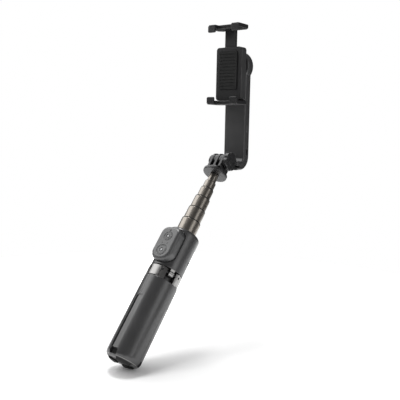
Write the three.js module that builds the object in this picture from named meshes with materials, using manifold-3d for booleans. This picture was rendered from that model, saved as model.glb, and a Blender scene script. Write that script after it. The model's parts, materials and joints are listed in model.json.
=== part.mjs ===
// A single-axis phone gimbal on a telescopic rod, with three tripod legs folded round the rod as its grip.
//
// Frame: millimetres, +Z up, +Y towards the back, +X to the right of someone facing the phone's screen.
// The gimbal's arm and phone clamp stand upright, and the rod leans back over them by ROD_LEAN.
// The origin is on the rod's axis, in the middle of the grip that the folded legs make.
//
// Two frames inside the model share one origin, which is the middle of the tilt hinge:
//   the rod's own frame, +Z up the rod and -Y out of the remote's face, turned back by ROD_LEAN, and
//   the head's frame, parallel to the model's frame.

import * as THREE from 'three';
import { mergeVertices } from 'three/addons/utils/BufferGeometryUtils.js';
import Module from 'manifold-3d';

const wasm = await Module();
wasm.setup();

// ---- Driving dimensions, in millimetres and degrees ----

const ROD_LEAN = 40; // the rod's top leans back by this much from upright
const GAP = 0.3; // clearance between neighbouring pieces

// Places down the rod, measured from the tilt hinge
const GRIP_MIDDLE = 182;
const BODY_TOP = 89;
const BODY_BOTTOM = 130.7;
const HUB_BOTTOM = 142;
const LEG_TOP = 142.3;
const LEG_BOTTOM = 221.5;
const LEG_PIVOT = 134.6;
const DISC_TOP = 13.8;
const DISC_BOTTOM = 17.2;

// Grip section
const GRIP_RADIUS = 16.4;
const HUB_RADIUS = 15.9;
const CORE_RADIUS = 10.9; // outside of the wall round the outermost tube
const PIVOT_RADIUS = 13; // how far a leg's pin is from the rod's axis
const KNUCKLE_RADIUS = 3.3;

// Rod tubes, outermost first: outer radius, and how far down the rod the tube's top is
const TUBES = [
  { radius: 9.6, top: 75.0 },
  { radius: 8.6, top: 61.3 },
  { radius: 7.7, top: 47.8 },
  { radius: 6.6, top: 36.4 },
  { radius: 5.6, top: 27.4 },
  { radius: 4.4, top: 17.5 },
];
const TUBE_LENGTH = 128.5;

// Tilt hinge: fins of the rod's head with the arm's tongue between them
const FIN_RADIUS = 7.8;
const FIN_PITCH = 6.35;
const FIN_THICKNESS = 2.8;
const BOLT_RADIUS = 2.4;
const HINGE_HALF = 8.05; // from the middle of the hinge to the knob's and the nut's faces
const KNOB_RADIUS = 10;
const KNOB_THICKNESS = 4.5;

// Remote control, on the front of the grip's body
const REMOTE_FACE = 20.1; // how far the remote's face is from the rod's axis
const REMOTE_TOP = 92.8;
const REMOTE_BOTTOM = 128.1;
const REMOTE_HALF_WIDTH = 11.2;
const SEAT = 11.9; // the flat seat behind the remote
const BUTTONS = [
  { name: 'shutter_button', at: 103.7, radius: 3.3 },
  { name: 'mode_button', at: 118.4, radius: 4.1 },
];

// Arm: an L seen from the side, in the head's frame
const ARM_HALF_WIDTH = 12.75;
const ARM_FRONT = 22.2;
const ARM_BACK = 32;
const ARM_UNDERSIDE = -8.8;
const ARM_FOOT_TOP = -0.7;
const ARM_FOOT_END = 10.7;
const ARM_BEND = 14;
const ARM_EDGE = 1.5; // bevel along the arm's long edges
const SKIN = 3; // thickness of the arm's rear cover
const MOTOR_HEIGHT = 97;
const MOTOR_END_RADIUS = 15.5;
const MOTOR_BORE = 13.3;

// Phone clamp, in the head's frame: it holds a phone that stands on its long edge
const PHONE_WIDTH = 70.9;
const PHONE_FRONT = -0.65;
const PHONE_BACK = 7.05;
const JAW_HALF_WIDTH = 18.5;
const JAW_THICKNESS = 4;
const JAW_FRONT = -2.6;
const JAW_BACK = 19.2;
const HOOK_HEIGHT = 3.6;
const CLAMP_HALF_WIDTH = 15;
const CLAMP_TOP = 18; // above the motor's axis
const ROD_SPREAD = 9; // from the clamp's middle to each guide rod

const ROUND = 32; // sides of a large round
const SMALL_ROUND = 16;
const ENVELOPE_ROUND = 48;

// ---- Shapes ----

// A closed solid from a geometry, whichever way its faces were wound
function toSolid(geometry) {
  const source = geometry.clone();
  source.deleteAttribute('normal');
  source.deleteAttribute('uv');
  const merged = mergeVertices(source, 1e-4);
  const points = merged.attributes.position.array;
  const index = merged.index.array;
  const triangles = [];
  const corners = [new THREE.Vector3(), new THREE.Vector3(), new THREE.Vector3()];
  let volume = 0;
  for (let i = 0; i < index.length; i += 3) {
    const [a, b, c] = [index[i], index[i + 1], index[i + 2]];
    if (a !== b && b !== c && c !== a) {
      triangles.push(a, b, c);
      corners[0].fromArray(points, 3 * a);
      corners[1].fromArray(points, 3 * b);
      corners[2].fromArray(points, 3 * c);
      volume += corners[0].dot(corners[1].cross(corners[2]));
    }
  }
  if (volume < 0) {
    triangles.reverse();
  }
  return new wasm.Manifold(new wasm.Mesh({
    numProp: 3,
    vertProperties: new Float32Array(points),
    triVerts: new Uint32Array(triangles),
  }));
}

// A geometry from a solid
function toGeometry(solid) {
  const mesh = solid.getMesh();
  const geometry = new THREE.BufferGeometry();
  geometry.setAttribute('position', new THREE.BufferAttribute(new Float32Array(mesh.vertProperties), 3));
  geometry.setIndex(new THREE.BufferAttribute(new Uint32Array(mesh.triVerts), 1));
  geometry.computeVertexNormals();
  return geometry;
}

// A box between two corners
function block(low, high) {
  const size = high.map((value, i) => value - low[i]);
  const middle = high.map((value, i) => (value + low[i]) / 2);
  return toSolid(new THREE.BoxGeometry(...size).translate(...middle));
}

// A solid turned about Z from [radius, height] corners, which start and end on the axis
// or close on themselves
function turned(corners, sides = ROUND) {
  const profile = corners.map(([radius, height]) => new THREE.Vector2(radius, height));
  return toSolid(new THREE.LatheGeometry(profile, sides).rotateX(Math.PI / 2));
}

function cylinder(radius, low, high, sides = ROUND) {
  return turned([[0, low], [radius, low], [radius, high], [0, high]], sides);
}

function ring(inner, outer, low, high, sides = ROUND) {
  return turned([[inner, low], [outer, low], [outer, high], [inner, high], [inner, low]], sides);
}

// Points on an arc of a profile, both ends included
function arc(cx, cy, radius, from, to, steps = 5) {
  const points = [];
  for (let i = 0; i <= steps; i += 1) {
    const angle = THREE.MathUtils.degToRad(from + ((to - from) * i) / steps);
    points.push([cx + radius * Math.cos(angle), cy + radius * Math.sin(angle)]);
  }
  return points;
}

function shapeOf(corners) {
  return new THREE.Shape(corners.map(([x, y]) => new THREE.Vector2(x, y)));
}

// A flat shape with thickness from low to high along Z, with its edges bevelled by edge
function plate(corners, low, high, edge = 0, steps = 2) {
  const geometry = new THREE.ExtrudeGeometry(shapeOf(corners), {
    depth: high - low - 2 * edge,
    bevelEnabled: edge > 0,
    bevelSize: edge,
    bevelThickness: edge,
    bevelOffset: -edge,
    bevelSegments: steps,
    steps: 1,
    curveSegments: 8,
  });
  return toSolid(geometry.translate(0, 0, low + edge));
}

// A rectangle with round corners, as the outline of a plate
function roundedRectangle(halfWidth, low, high, radius, steps = 5) {
  return [
    ...arc(halfWidth - radius, low + radius, radius, -90, 0, steps),
    ...arc(halfWidth - radius, high - radius, radius, 0, 90, steps),
    ...arc(-halfWidth + radius, high - radius, radius, 90, 180, steps),
    ...arc(-halfWidth + radius, low + radius, radius, 180, 270, steps),
  ];
}

// Turns a solid made with its axis along Z so that the axis lies along X,
// and its outline's x and y along Y and Z
function alongX(solid) {
  return solid.rotate([90, 0, 90]);
}

// Turns a solid made with its axis along Z so that the axis lies along -Y, and its outline's y along Z
function alongFront(solid) {
  return solid.rotate([90, 0, 0]);
}

function unite(solids) {
  return solids.reduce((whole, solid) => whole.add(solid));
}

// ---- Finishes ----

function finish(colour, roughness, metalness = 0) {
  return () => new THREE.MeshStandardMaterial({ color: colour, roughness, metalness });
}

const charcoal = finish(0x3c3d3f, 0.55);
const softGrey = finish(0x6f7173, 0.6);
const blackPlastic = finish(0x1a1a1b, 0.5);
const rubber = finish(0x141414, 0.9);
const champagneSteel = finish(0xb8a894, 0.25, 1);
const steel = finish(0x9a9a9c, 0.3, 1);
const satinMetal = finish(0x8f8e8c, 0.35, 1);
const copper = finish(0xb06a3a, 0.4, 1);
const boardGreen = finish(0x1f4a35, 0.6);
const batterySilver = finish(0x9fa3a8, 0.45, 0.3);
const paleLens = finish(0xd8dadc, 0.3);

function part(parent, name, solid, material) {
  const mesh = new THREE.Mesh(toGeometry(solid), material());
  mesh.name = name;
  parent.add(mesh);
  return mesh;
}

const gimbal = new THREE.Group();
const hinge = new THREE.Group();
const lean = THREE.MathUtils.degToRad(ROD_LEAN);
hinge.position.set(0, GRIP_MIDDLE * Math.sin(lean), GRIP_MIDDLE * Math.cos(lean));
gimbal.add(hinge);
const rod = new THREE.Group();
rod.rotation.x = -lean;
hinge.add(rod);
const head = new THREE.Group();
hinge.add(head);

// ---- Grip body: two half shells, a hub for the legs and a bush for the rod ----

// The remote's outline, grown by a margin: round top corners and a fuller round at the bottom
function remoteOutline(margin) {
  const halfWidth = REMOTE_HALF_WIDTH + margin;
  const top = -REMOTE_TOP + margin;
  const bottom = -REMOTE_BOTTOM - margin;
  const topRadius = 7 + margin;
  const bottomRadius = 9.5 + margin;
  return [
    ...arc(halfWidth - bottomRadius, bottom + bottomRadius, bottomRadius, -90, 0, 5),
    ...arc(halfWidth - topRadius, top - topRadius, topRadius, 0, 90, 4),
    ...arc(-halfWidth + topRadius, top - topRadius, topRadius, 90, 180, 4),
    ...arc(-halfWidth + bottomRadius, bottom + bottomRadius, bottomRadius, 180, 270, 5),
  ];
}

const SHOULDER = 4;
const WALL = 1.8;
const BUSH_BOTTOM = BODY_TOP + 12;
const SIDE_GROOVE = 9.3; // how deep the remote's side skirts reach, from the rod's axis

function gripBody() {
  const outside = turned([
    [0, -BODY_BOTTOM],
    [HUB_RADIUS, -BODY_BOTTOM],
    ...arc(HUB_RADIUS - SHOULDER, -BODY_TOP - SHOULDER, SHOULDER, 0, 90, 4),
    [0, -BODY_TOP],
  ]);
  const bore = cylinder(CORE_RADIUS + 0.5, -BODY_BOTTOM - 1, -BODY_TOP + 1);
  const seat = alongFront(plate(remoteOutline(0.5), SEAT, REMOTE_FACE + 2));
  const sideGrooves = alongFront(plate(remoteOutline(0.5), SIDE_GROOVE, SEAT + 1))
    .subtract(block([-8.8, -SEAT - 2, -REMOTE_BOTTOM - 5], [8.8, 0, -REMOTE_TOP + 5]));
  const nearAxis = cylinder(CORE_RADIUS + 1.2, -BODY_BOTTOM - 1, -BODY_TOP + 1);
  return outside.subtract(bore).subtract(seat).subtract(sideGrooves.subtract(nearAxis));
}

const SPLIT = 1.5; // the two shells part this far behind the rod's axis
const EVERYTHING = 300;
const body = gripBody();
const frontHalf = block([-EVERYTHING, -EVERYTHING, -EVERYTHING], [EVERYTHING, SPLIT - GAP / 2, EVERYTHING]);
const rearHalf = block([-EVERYTHING, SPLIT + GAP / 2, -EVERYTHING], [EVERYTHING, EVERYTHING, EVERYTHING]);

// Two screws hold the shells together from the back, one on each side of the bore
const SCREW_HEAD = 1.9;
const SCREW_SHANK = 0.9;
const SCREW_AT = 13.1;
const SCREW_DOWN = 116;

function screw(radius, shank, headDepth, length) {
  const driveDepth = headDepth * 0.6;
  const profile = [
    [0, -length], [shank, -length], [shank, -headDepth], [radius, -headDepth], [radius, 0], [0, 0],
  ];
  return turned(profile, SMALL_ROUND).subtract(cylinder(radius * 0.4, -driveDepth, 1, 6));
}

function screwPocket(x, grown) {
  const headRoom = cylinder(SCREW_HEAD + grown, 0, 12, SMALL_ROUND);
  const shankRoom = cylinder(SCREW_SHANK + grown, -6.5, 1, SMALL_ROUND);
  return headRoom.add(shankRoom).rotate([-90, 0, 0]).translate([x, 4.6, -SCREW_DOWN]);
}

const screwPockets = screwPocket(-SCREW_AT, GAP).add(screwPocket(SCREW_AT, GAP));
part(rod, 'body_front_shell', body.intersect(frontHalf).subtract(screwPockets), charcoal);
part(rod, 'body_rear_shell', body.intersect(rearHalf).subtract(screwPockets), charcoal);
for (const [side, x] of [['left', -SCREW_AT], ['right', SCREW_AT]]) {
  const placed = screw(SCREW_HEAD, SCREW_SHANK, 1.2, 6.8).rotate([-90, 0, 0]);
  part(rod, `body_screw_${side}`, placed.translate([x, 5.9, -SCREW_DOWN]), steel);
}

// The bush fills the bore at the body's top and guides the outermost tube
const bushBore = TUBES[0].radius + 0.25;
part(rod, 'rod_bush', turned([
  [bushBore, -BUSH_BOTTOM],
  [CORE_RADIUS + 0.2, -BUSH_BOTTOM],
  [CORE_RADIUS + 0.2, -BODY_TOP - 0.6],
  [CORE_RADIUS - 0.4, -BODY_TOP],
  [bushBore, -BODY_TOP],
  [bushBore, -BUSH_BOTTOM],
]), blackPlastic);

// ---- Leg hub: a sleeve with a tongue for each leg's fork and a spine between the legs ----

const LEGS = [
  { name: 'right', bearing: 60 },
  { name: 'left', bearing: -60 },
  { name: 'rear', bearing: 180 },
];
const TONGUE_HALF = 2.2;
const PRONG_INNER = 4.9;
const PRONG_OUTER = 9.7;

// Turns a solid made for a leg at the front to the leg's bearing, counted from the front towards the right
function atBearing(solid, bearing) {
  return solid.rotate([0, 0, bearing]);
}

function legHub() {
  const sleeve = ring(bushBore + 0.1, HUB_RADIUS, -HUB_BOTTOM, -BODY_BOTTOM - GAP);
  const upperSleeve = ring(bushBore + 0.1, CORE_RADIUS + 0.2, -BODY_BOTTOM - 1, -BUSH_BOTTOM - GAP);
  let hub = sleeve.add(upperSleeve);
  const forkHalf = PRONG_OUTER + 0.4;
  const forkTop = -LEG_PIVOT + KNUCKLE_RADIUS + GAP;
  const forkRoom = block([-forkHalf, -20, -HUB_BOTTOM - 1], [forkHalf, -7, forkTop])
    .subtract(cylinder(CORE_RADIUS - 0.3, -HUB_BOTTOM - 2, -100));
  for (const leg of LEGS) {
    hub = hub.subtract(atBearing(forkRoom, leg.bearing));
  }
  for (const leg of LEGS) {
    const knuckle = alongX(cylinder(KNUCKLE_RADIUS, -TONGUE_HALF, TONGUE_HALF, SMALL_ROUND))
      .translate([0, -PIVOT_RADIUS, -LEG_PIVOT]);
    const web = block([-TONGUE_HALF, -HUB_RADIUS + 0.1, -LEG_PIVOT],
      [TONGUE_HALF, -CORE_RADIUS + 1, -BODY_BOTTOM - 0.5]);
    const pinHole = alongX(cylinder(1.3, -5, 5, SMALL_ROUND)).translate([0, -PIVOT_RADIUS, -LEG_PIVOT]);
    hub = hub.add(atBearing(knuckle.add(web), leg.bearing)).subtract(atBearing(pinHole, leg.bearing));
  }
  return hub.subtract(cylinder(bushBore + 0.1, -HUB_BOTTOM - 5, -80));
}

part(rod, 'leg_hub', legHub(), satinMetal);

// ---- Legs: thirds of a round shell, which fork round the hub's tongues at the top ----

const LEG_INSIDE = 10.3;
const LEG_CORNER = 5.5;
const UPPER_SEAM = -67; // bearing of the seams above the jog, from the leg's middle
const LOWER_SEAM = -73;
const SEAM_GAP = 0.8; // half the gap between two legs, in degrees
const JOG = 163; // where the seams step to one side
const SLOT_TOP = 163.8;
const SLOT_BOTTOM = 214;
const SLOT_EDGE = 41.5; // bearing of the slot's far edge
const SLOT_FLOOR = 13.6;
const FACET_BEARING = -68;
const FACET_DISTANCE = 15.8; // from the rod's axis to the flat beside the slot
const FLOOR_TOP = 217.2; // the legs' closed ends start here, below the tubes pushed fully in
const FOOT_BOTTOM = 222.9;

// A third of a ring about the rod, between two bearings from the leg's middle
function legSector(inner, from, to) {
  return [
    ...arc(0, 0, GRIP_RADIUS + 1, -90 + from, -90 + to, 3),
    ...arc(0, 0, inner, -90 + to, -90 + from, 8),
  ];
}

// Everything inside the closed legs' outer face, with the round corner at the grip's end
function gripEnvelope() {
  return turned([
    [0, -LEG_BOTTOM],
    ...arc(GRIP_RADIUS - LEG_CORNER, -LEG_BOTTOM + LEG_CORNER, LEG_CORNER, -90, 0, 5),
    [GRIP_RADIUS, -LEG_TOP + 20],
    [0, -LEG_TOP + 20],
  ], ENVELOPE_ROUND);
}

const FOOT_OUTER = 13.6;
const FOOT_INNER = 4.2;
function footOutline(margin) {
  const middle = -90 + LOWER_SEAM + 60;
  const halfAngle = 34;
  return [
    ...arc(0, 0, FOOT_OUTER + margin, middle - halfAngle, middle + halfAngle, 8),
    ...arc(0, 0, FOOT_INNER - margin, middle + halfAngle, middle - halfAngle, 3),
  ];
}

// Round edge of the rubber feet, which stand a little proud of the legs' ends
function footEnvelope() {
  const corner = 4;
  return turned([
    [0, -FOOT_BOTTOM],
    ...arc(FOOT_OUTER - corner, -FOOT_BOTTOM + corner, corner, -90, 0, 4),
    [FOOT_OUTER, -LEG_BOTTOM + 10],
    [0, -LEG_BOTTOM + 10],
  ], ENVELOPE_ROUND);
}

function legShell() {
  const upperFrom = UPPER_SEAM + SEAM_GAP;
  const upperTo = UPPER_SEAM + 120 - SEAM_GAP;
  const lowerFrom = LOWER_SEAM + SEAM_GAP;
  const lowerTo = LOWER_SEAM + 120 - SEAM_GAP;
  const upper = plate(legSector(LEG_INSIDE, upperFrom, upperTo), -JOG, -LEG_TOP);
  const step = plate(legSector(LEG_INSIDE, upperFrom, lowerTo), -JOG - 0.5, -JOG + 0.5);
  const lower = plate(legSector(LEG_INSIDE, lowerFrom, lowerTo), -FLOOR_TOP - 0.1, -JOG - GAP);
  const floor = plate(legSector(1.2, lowerFrom + 0.7, lowerTo - 0.7), -LEG_BOTTOM, -FLOOR_TOP);
  let leg = upper.add(step).add(lower).add(floor).intersect(gripEnvelope());
  // two pockets on the inside, with a rib between them
  for (const [low, high] of [[-214, -184], [-181, -150]]) {
    const pocket = plate([
      ...arc(0, 0, GRIP_RADIUS - WALL, -90 - 50, -90 + 34, 6),
      ...arc(0, 0, LEG_INSIDE - 1, -90 + 34, -90 - 50, 2),
    ], low, high);
    leg = leg.subtract(pocket);
  }
  // prongs either side of the hub's tongue, round about the pin
  for (const side of [-1, 1]) {
    const middle = (side * (PRONG_INNER + PRONG_OUTER)) / 2;
    const half = (PRONG_OUTER - PRONG_INNER) / 2;
    const round = alongX(cylinder(KNUCKLE_RADIUS, -half, half, SMALL_ROUND))
      .translate([middle, -PIVOT_RADIUS, -LEG_PIVOT]);
    const stem = block([middle - half, -PIVOT_RADIUS - KNUCKLE_RADIUS, -LEG_TOP - 6],
      [middle + half, -PIVOT_RADIUS + KNUCKLE_RADIUS, -LEG_PIVOT]);
    const outside = cylinder(GRIP_RADIUS - 0.1, -LEG_TOP - 10, -LEG_TOP + 20, ENVELOPE_ROUND);
    const inside = cylinder(LEG_INSIDE, -LEG_TOP - 10, -LEG_TOP);
    leg = leg.add(round.add(stem).intersect(outside).subtract(inside));
  }
  const pinHole = alongX(cylinder(1.3, -12, 12, SMALL_ROUND)).translate([0, -PIVOT_RADIUS, -LEG_PIVOT]);
  // a recess to open the leg by, at its lower edge on both sides, and the foot's seat
  const recessLow = -LEG_BOTTOM + 1.8;
  const recessHigh = -LEG_BOTTOM + 7.2;
  const recessFloor = -GRIP_RADIUS + 3.6;
  const fingerEdge = atBearing(block([-6, -20, recessLow], [3.6, recessFloor, recessHigh]), -60)
    .add(atBearing(block([-4.6, -20, recessLow], [1, recessFloor, recessHigh]), 60));
  const footSeat = plate(footOutline(GAP), -LEG_BOTTOM - 1, -LEG_BOTTOM + 2.2);
  // a slot beside the next leg's edge, and the flat on that edge
  const slot = atBearing(block([0, -20, -SLOT_BOTTOM], [6, -SLOT_FLOOR, -SLOT_TOP]), SLOT_EDGE);
  const facet = atBearing(block([-6, -20, -SLOT_BOTTOM], [6, -FACET_DISTANCE, -SLOT_TOP]), FACET_BEARING);
  return leg.subtract(pinHole).subtract(fingerEdge).subtract(slot).subtract(facet).subtract(footSeat);
}

const legSolid = legShell();
const footSolid = plate(footOutline(0), -FOOT_BOTTOM, -LEG_BOTTOM + 1.9).intersect(footEnvelope());
const pinSolid = alongX(cylinder(1.0, -PRONG_OUTER + 0.2, PRONG_OUTER - 0.2, SMALL_ROUND))
  .translate([0, -PIVOT_RADIUS, -LEG_PIVOT]);
for (const leg of LEGS) {
  part(rod, `leg_${leg.name}`, atBearing(legSolid, leg.bearing), charcoal);
  part(rod, `foot_${leg.name}`, atBearing(footSolid, leg.bearing), rubber);
  part(rod, `leg_pin_${leg.name}`, atBearing(pinSolid, leg.bearing), steel);
}

// ---- Remote control: a case and a back round a board, a coin cell and two buttons ----

const CASE_EDGE = 3;
const CASE_FLOOR = SEAT + 0.4;
const caseOutside = alongFront(plate(remoteOutline(0), SIDE_GROOVE + 0.4, REMOTE_FACE, CASE_EDGE, 2))
  .add(alongFront(plate(remoteOutline(0), SIDE_GROOVE + 0.4, REMOTE_FACE - CASE_EDGE)));
const CASE_INSIDE = REMOTE_FACE - 1.6;
const caseHollow = alongFront(plate(remoteOutline(-1.6), SIDE_GROOVE - 1, CASE_INSIDE));
const caseNotch = block([-9.2, -CASE_FLOOR, -REMOTE_BOTTOM - 5], [9.2, 0, -REMOTE_TOP + 5]);
let remoteCase = caseOutside.subtract(caseHollow).subtract(caseNotch);
for (const button of BUTTONS) {
  const hole = alongFront(cylinder(button.radius + GAP, 0, 40, SMALL_ROUND)).translate([0, 0, -button.at]);
  remoteCase = remoteCase.subtract(hole);
  const grooveInside = button.radius + 0.9;
  const groove = alongFront(ring(grooveInside, grooveInside + 0.5, REMOTE_FACE - 0.4, REMOTE_FACE + 2))
    .translate([0, 0, -button.at]);
  remoteCase = remoteCase.subtract(groove);
}
const LIGHT_AT = 97.4;
const lightHole = alongFront(cylinder(0.9, 0, 40, SMALL_ROUND)).translate([0, 0, -LIGHT_AT]);
part(rod, 'remote_case', remoteCase.subtract(lightHole), softGrey);
part(rod, 'remote_light', alongFront(cylinder(0.6, REMOTE_FACE - 2.2, REMOTE_FACE - 0.1, SMALL_ROUND))
  .translate([0, 0, -LIGHT_AT]), paleLens);

const BACK_INSIDE = CASE_FLOOR + 1;
part(rod, 'remote_back', alongFront(plate(remoteOutline(-1.9), CASE_FLOOR + 0.05, BACK_INSIDE)), charcoal);
const BOARD_BACK = CASE_INSIDE - 3.1;
part(rod, 'remote_board', alongFront(plate(remoteOutline(-2.6), BOARD_BACK, BOARD_BACK + 1)), boardGreen);
part(rod, 'remote_cell', alongFront(cylinder(7.9, BACK_INSIDE + GAP, BOARD_BACK - GAP))
  .translate([0, 0, -110]), steel);
for (const button of BUTTONS) {
  const crown = 0.3;
  const cap = alongFront(turned([
    [0, CASE_INSIDE - 1.5],
    [button.radius + 0.9, CASE_INSIDE - 1.5],
    [button.radius + 0.9, CASE_INSIDE - 0.8],
    [button.radius, CASE_INSIDE - 0.8],
    [button.radius, REMOTE_FACE - 0.2],
    [button.radius - 0.6, REMOTE_FACE + crown],
    [0, REMOTE_FACE + crown],
  ], SMALL_ROUND)).translate([0, 0, -button.at]);
  part(rod, button.name, cap, softGrey);
}

// ---- Rod: six tubes that slide into each other, and the head with the hinge's fins ----

TUBES.forEach((tube, i) => {
  const next = TUBES[i + 1];
  const inner = next ? next.radius + 0.25 : tube.radius - 0.5;
  const bottom = -tube.top - TUBE_LENGTH;
  part(rod, `rod_tube_${i + 1}`, turned([
    [inner, bottom],
    [tube.radius, bottom],
    [tube.radius, -tube.top - 0.4],
    [tube.radius - 0.2, -tube.top],
    [inner, -tube.top],
    [inner, bottom],
  ]), champagneSteel);
});

function rodHead() {
  const disc = turned([
    [0, -DISC_BOTTOM],
    [11.6, -DISC_BOTTOM],
    ...arc(11.6, -(DISC_TOP + DISC_BOTTOM) / 2, 1, -45, 45, 2),
    [11.2, -DISC_TOP],
    [0, -DISC_TOP],
  ]);
  const pedestal = cylinder(8.2, -DISC_TOP - 1, -FIN_RADIUS - 2.2);
  const spigot = cylinder(TUBES[5].radius - 0.8, -DISC_BOTTOM - 12, -DISC_BOTTOM, SMALL_ROUND);
  let solid = unite([disc, pedestal, spigot]);
  for (const side of [-1, 0, 1]) {
    const middle = side * FIN_PITCH;
    const fin = alongX(plate([
      ...arc(0, 0, FIN_RADIUS, 0, 180, 10),
      [-FIN_RADIUS, -FIN_RADIUS - 3],
      [FIN_RADIUS, -FIN_RADIUS - 3],
    ], -FIN_THICKNESS / 2, FIN_THICKNESS / 2)).translate([middle, 0, 0]);
    solid = solid.add(fin);
  }
  return solid.subtract(alongX(cylinder(BOLT_RADIUS + GAP, -20, 20, SMALL_ROUND)));
}

part(rod, 'rod_head', rodHead(), blackPlastic);

// The bolt, its nut and the knob that clamps the hinge
const BOLT_DEPTH = 2.6; // how far the bolt reaches into the knob and the nut
part(rod, 'hinge_bolt', alongX(cylinder(BOLT_RADIUS, -HINGE_HALF - BOLT_DEPTH, HINGE_HALF + BOLT_DEPTH,
  SMALL_ROUND)), steel);
part(rod, 'hinge_nut', alongX(turned([
  [0, -HINGE_HALF - 4.2],
  [4.6, -HINGE_HALF - 4.2],
  [6.2, -HINGE_HALF - 3.2],
  [6.4, -HINGE_HALF],
  [BOLT_RADIUS + GAP, -HINGE_HALF],
  [BOLT_RADIUS + GAP, -HINGE_HALF - BOLT_DEPTH - GAP],
  [0, -HINGE_HALF - BOLT_DEPTH - GAP],
], 24)), blackPlastic);

// Six rounded lobes round a flat face
function knobOutline() {
  const lobes = 6;
  const steps = 6;
  const points = [];
  for (let i = 0; i < lobes * steps; i += 1) {
    const angle = (2 * Math.PI * i) / (lobes * steps);
    const wave = Math.cos(lobes * angle);
    const radius = KNOB_RADIUS - 1.1 + 1.1 * Math.sign(wave) * Math.sqrt(Math.abs(wave));
    points.push([radius * Math.cos(angle), radius * Math.sin(angle)]);
  }
  return points;
}

const knobBlank = plate(knobOutline(), HINGE_HALF, HINGE_HALF + KNOB_THICKNESS, 0.9, 1)
  .subtract(cylinder(BOLT_RADIUS + GAP, HINGE_HALF - 1, HINGE_HALF + BOLT_DEPTH + GAP, SMALL_ROUND))
  .subtract(cylinder(5.2, HINGE_HALF + KNOB_THICKNESS - 0.5, HINGE_HALF + KNOB_THICKNESS + 1, SMALL_ROUND));
part(rod, 'thumb_knob', alongX(knobBlank), blackPlastic);

// ---- Arm: front housing and rear cover round a battery, a board and the roll motor ----

// The arm's side outline, with its outer faces moved in by inset
function armOutline(inset, top) {
  const bendMiddle = [ARM_BACK - ARM_BEND, ARM_UNDERSIDE + ARM_BEND];
  const insideRadius = 4.5;
  return [
    [ARM_FOOT_END, ARM_UNDERSIDE + inset],
    ...arc(...bendMiddle, ARM_BEND - inset, -90, 0, 10),
    [ARM_BACK - inset, top],
    [ARM_FRONT, top],
    ...arc(ARM_FRONT - insideRadius, ARM_FOOT_TOP + insideRadius, insideRadius, 0, -90, 6),
    [ARM_FOOT_END, ARM_FOOT_TOP],
  ];
}

function motorDisc(radius, low, high) {
  // a disc with its axis front to back, from low to high along Y
  return alongFront(cylinder(radius, -high, -low)).translate([0, 0, MOTOR_HEIGHT]);
}

function armSolid() {
  const bar = alongX(plate(armOutline(0, MOTOR_HEIGHT), -ARM_HALF_WIDTH, ARM_HALF_WIDTH, ARM_EDGE, 2));
  const motorEnd = alongFront(turned([
    [0, -ARM_BACK],
    [MOTOR_END_RADIUS - ARM_EDGE, -ARM_BACK],
    [MOTOR_END_RADIUS, -ARM_BACK + ARM_EDGE],
    [MOTOR_END_RADIUS, -ARM_FRONT - ARM_EDGE],
    [MOTOR_END_RADIUS - ARM_EDGE, -ARM_FRONT],
    [0, -ARM_FRONT],
  ])).translate([0, 0, MOTOR_HEIGHT]);
  return bar.add(motorEnd);
}

const arm = armSolid();
// Everything in front of the rear cover, drawn wider than the arm
function inFrontOfCover(inset) {
  const bar = alongX(plate(armOutline(inset, EVERYTHING), -40, 40));
  const wide = block([-40, ARM_FRONT - 3, 20], [40, ARM_BACK - inset, EVERYTHING]);
  return bar.add(wide);
}

const POCKET_FRONT = ARM_FRONT + 1.6;
const electronicsPocket = block([-10.6, POCKET_FRONT, 8], [10.6, ARM_BACK - SKIN + 1, 79]);
const tongueRoom = block([-5, ARM_FOOT_END - 1, -7.3], [5, 21, -1.9]);
const footNotch = block([6, ARM_FOOT_END - 1, -6.3], [20, 14.6, -4.2])
  .add(block([-20, ARM_FOOT_END - 1, -6.3], [-6, 14.6, -4.2]));
const PORT_HEIGHT = 9.2; // the charging socket opens on the arm's right side
const PORT_Y = 27.8;
const portRoom = block([6, PORT_Y - 1.4, PORT_HEIGHT - 3.3], [20, PORT_Y + 1.4, PORT_HEIGHT + 3.3]);
const SWITCH_HEIGHT = 34;
const switchRoom = block([9, 25.1, SWITCH_HEIGHT - 4.3], [20, 27.9, SWITCH_HEIGHT + 4.3]);
const motorRoom = motorDisc(MOTOR_BORE, ARM_FRONT - 1, ARM_BACK - SKIN + 1);
const COVER_RADIUS = 11;
const capRoom = motorDisc(COVER_RADIUS + GAP, ARM_BACK - 1.3, ARM_BACK + 2);
const bearingRoom = motorDisc(3.2, ARM_BACK - SKIN - 1, ARM_BACK - 1);

const footRoom = tongueRoom.add(footNotch);
const frontRooms = [electronicsPocket, footRoom, portRoom, switchRoom, motorRoom];
const frontShell = arm.intersect(inFrontOfCover(SKIN)).subtract(unite(frontRooms));
const rearShell = arm.subtract(inFrontOfCover(SKIN - GAP)).subtract(unite([footRoom, capRoom, bearingRoom]));
part(head, 'arm_front_shell', frontShell, charcoal);
part(head, 'arm_rear_shell', rearShell, charcoal);
part(head, 'motor_cap', alongFront(turned([
  [0, -ARM_BACK - 1],
  [COVER_RADIUS - 1.4, -ARM_BACK - 1],
  [COVER_RADIUS, -ARM_BACK - 0.1],
  [COVER_RADIUS, -ARM_BACK + 1],
  [0, -ARM_BACK + 1],
])).translate([0, 0, MOTOR_HEIGHT]), blackPlastic);

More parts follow.
